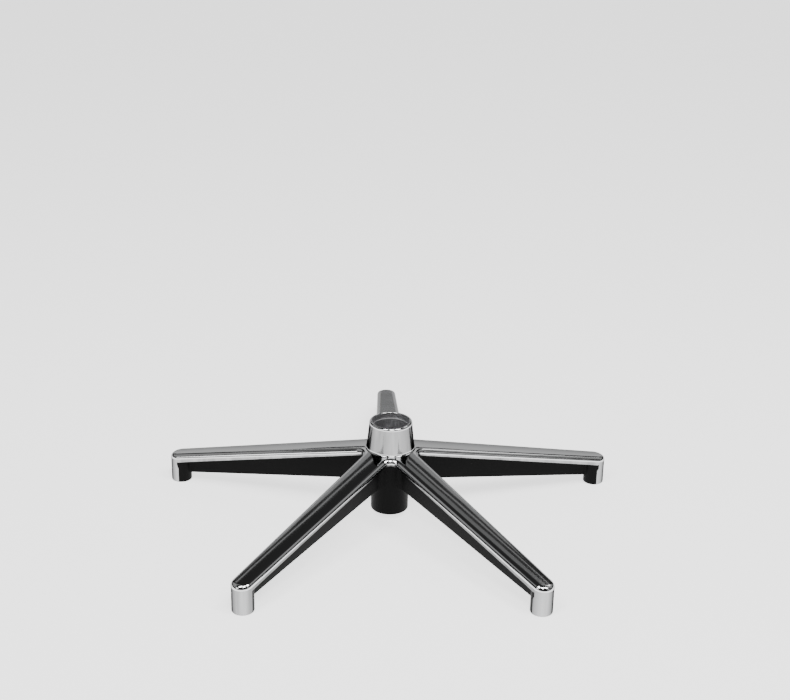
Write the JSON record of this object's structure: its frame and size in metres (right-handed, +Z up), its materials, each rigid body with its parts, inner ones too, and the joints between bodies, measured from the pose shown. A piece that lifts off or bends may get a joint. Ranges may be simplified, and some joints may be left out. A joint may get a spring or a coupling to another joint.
{
  "type": "office chair five star base",
  "caption": "Star base of an office chair: sloping arms with a polished crowned top and a dark keel below, round a hub with a collar for a gas lift; a boss for a caster at each tip.",
  "frame": {"origin": "hub axis at the lower end face of the hub barrel", "axes": "+Z up along the hub axis, towards the gas lift; +Y along the back arm; -Y towards the viewer of the picture"},
  "size_m": [0.6538, 0.6233, 0.1461],
  "materials": {
    "casting": "polished top, rim and collar; keels, barrel and underside in satin black paint"
  },
  "bodies": {
    "root": {"star_base": "casting"}
  },
  "joints": []
}
